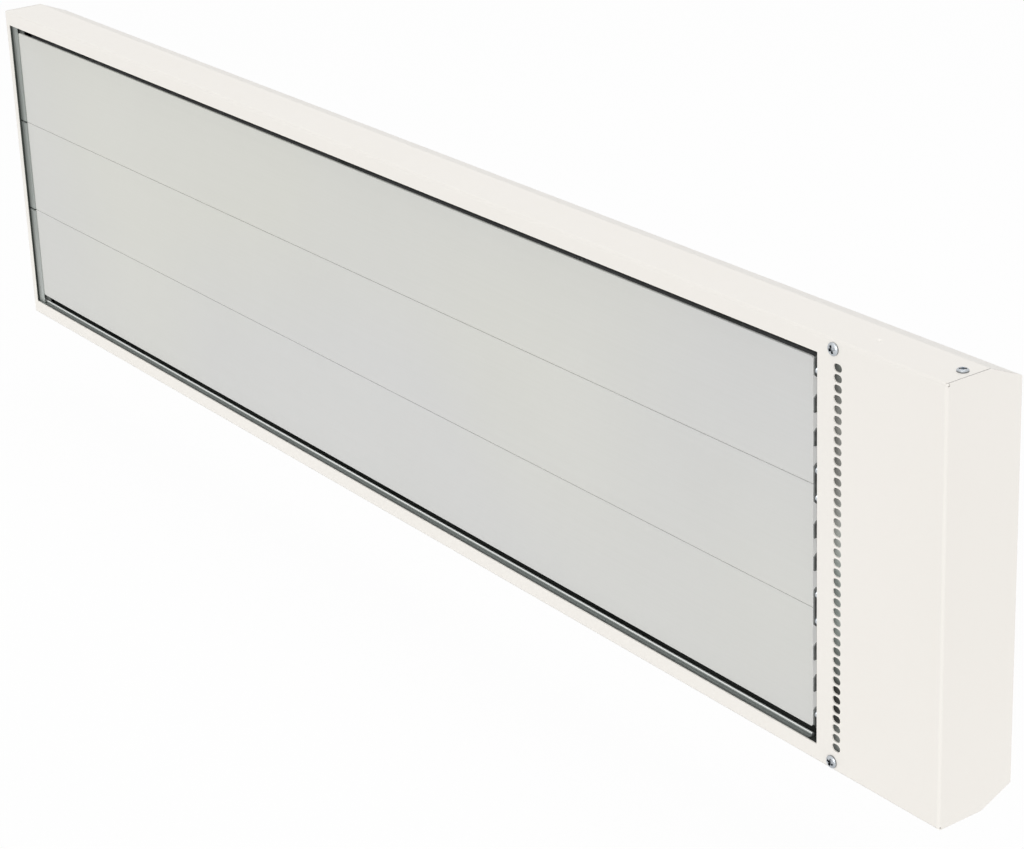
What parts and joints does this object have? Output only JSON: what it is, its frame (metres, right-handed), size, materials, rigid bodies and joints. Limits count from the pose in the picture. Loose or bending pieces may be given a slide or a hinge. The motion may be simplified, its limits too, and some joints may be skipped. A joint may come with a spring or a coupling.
{
  "type": "infrared panel heater",
  "caption": "Long flat infrared panel heater: grey aluminium lamellas in the window of a white folded steel casing, vent slots beside the terminal end, hanger brackets on the back.",
  "frame": {"origin": "centre of the bounding box, hanger brackets and screw heads included", "axes": "+X along the panel to the terminal end, +Y from the radiating front to the hanger brackets, +Z across the lamellas; the panel is shown on edge, as in the picture"},
  "size_m": [1.52, 0.1106, 0.3744],
  "materials": {
    "casing_paint": "white textured powder coat",
    "pan_galvanised": "galvanised sheet",
    "tray_aluminised": "aluminised sheet",
    "mineral_wool": "mineral wool board",
    "bright_foil": "bright foil",
    "rail_aluminised": "bright rolled edge",
    "partition_galvanised": "galvanised sheet",
    "carrier_galvanised": "galvanised sheet",
    "lamella_anodised": "extruded, grey matt thermal coating",
    "element_sheath": "annealed dark sheath",
    "white_ceramic": "fired steatite",
    "clip_galvanised": "galvanised sheet",
    "plug_steel": "dark pressed steel",
    "bracket_steel": "dark pressed steel",
    "screw_zinc": "bright zinc plated",
    "terminal_ceramic": "glazed porcelain",
    "earth_brass": "turned brass",
    "gland_polyamide": "moulded polyamide",
    "wire_black": "silicone insulation",
    "wire_blue": "silicone insulation",
    "wire_green": "green and yellow silicone insulation",
    "hanger_galvanised": "hot-dip galvanised"
  },
  "bodies": {
    "chassis": {"back_pan": "pan_galvanised", "cable_gland": "gland_polyamide", "earth_nut": "earth_brass", "earth_stud": "earth_brass", "earth_wire": "wire_green", "element_insulator_bottom": "white_ceramic", "element_insulator_middle": "white_ceramic", "element_insulator_top": "white_ceramic", "foil_reflector": "bright_foil", "front_casing": "casing_paint", "front_screw_bottom": "screw_zinc", "front_screw_top": "screw_zinc", "gland_locknut": "gland_polyamide", "hanger_bolt_left_lower": "screw_zinc", "hanger_bolt_left_upper": "screw_zinc", "hanger_bolt_right_lower": "screw_zinc", "hanger_bolt_right_upper": "screw_zinc", "hanger_bracket_left": "hanger_galvanised", "hanger_bracket_right": "hanger_galvanised", "heating_element_bottom": "element_sheath", "heating_element_middle": "element_sheath", "heating_element_top": "element_sheath", "insulation_slab": "mineral_wool", "lamella_carrier_left": "carrier_galvanised", "lamella_carrier_middle": "carrier_galvanised", "lamella_carrier_right": "carrier_galvanised", "left_clip_bottom": "clip_galvanised", "left_clip_middle": "clip_galvanised", "left_clip_top": "clip_galvanised", "line_wire_bottom": "wire_black", "line_wire_middle": "wire_black", "line_wire_top": "wire_black", "neutral_wire": "wire_blue", "partition_plate": "partition_galvanised", "reflector_tray": "tray_aluminised", "side_screw_bottom": "screw_zinc", "side_screw_top": "screw_zinc", "terminal_block": "terminal_ceramic", "terminal_bridge": "carrier_galvanised", "window_rail_bottom": "rail_aluminised", "window_rail_top": "rail_aluminised"},
    "lamella_pack": {"bracket_screw_1": "screw_zinc", "bracket_screw_2": "screw_zinc", "bracket_screw_3": "screw_zinc", "bracket_screw_4": "screw_zinc", "bracket_screw_5": "screw_zinc", "bracket_screw_6": "screw_zinc", "channel_plug_bottom_lower": "plug_steel", "channel_plug_bottom_upper": "plug_steel", "channel_plug_middle_lower": "plug_steel", "channel_plug_middle_upper": "plug_steel", "channel_plug_top_lower": "plug_steel", "channel_plug_top_upper": "plug_steel", "end_bracket_bottom": "bracket_steel", "end_bracket_top": "bracket_steel", "lamella_bottom": "lamella_anodised", "lamella_middle": "lamella_anodised", "lamella_top": "lamella_anodised", "seam_bracket_lower": "bracket_steel", "seam_bracket_upper": "bracket_steel"}
  },
  "joints": [
    {"name": "lamella_expansion", "type": "slide", "parent": "chassis", "child": "lamella_pack", "axis": [1, 0, 0], "range_m": [0, 0.008]}
  ]
}
